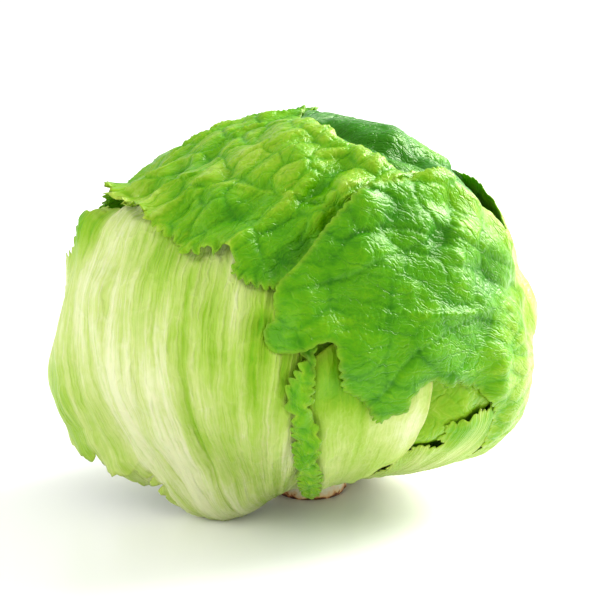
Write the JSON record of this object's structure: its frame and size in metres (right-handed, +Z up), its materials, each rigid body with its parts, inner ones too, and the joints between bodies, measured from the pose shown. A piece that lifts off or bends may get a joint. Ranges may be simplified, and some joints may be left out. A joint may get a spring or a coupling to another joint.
{
  "type": "iceberg lettuce",
  "caption": "Dense head of iceberg lettuce with loose outer wrapper leaves, standing on its cut stem.",
  "frame": {"origin": "centre of the head's bounding box, on the floor the cut stem stands on", "axes": "+Z up out of the head, +X across the head's widest span to the side of the leaf that laps over the front, -Y towards the pictured front"},
  "size_m": [0.1733, 0.1629, 0.1406],
  "materials": {
    "stem": "dry cut face, browned at its rim",
    "heart_leaf": "fresh green leaf, in shade",
    "pale_leaf": "pale green leaf with whitish ribs, softly waxy",
    "green_leaf": "bright green leaf, waxy sheen"
  },
  "bodies": {
    "root": {"stem": "stem", "heart": "heart_leaf", "back_left_leaf": "green_leaf", "back_leaf": "green_leaf", "under_left_leaf": "green_leaf", "left_leaf": "pale_leaf", "lower_right_leaf": "pale_leaf", "front_leaf": "pale_leaf", "strip_leaf": "green_leaf", "top_leaf": "green_leaf", "right_leaf": "green_leaf"}
  },
  "joints": []
}
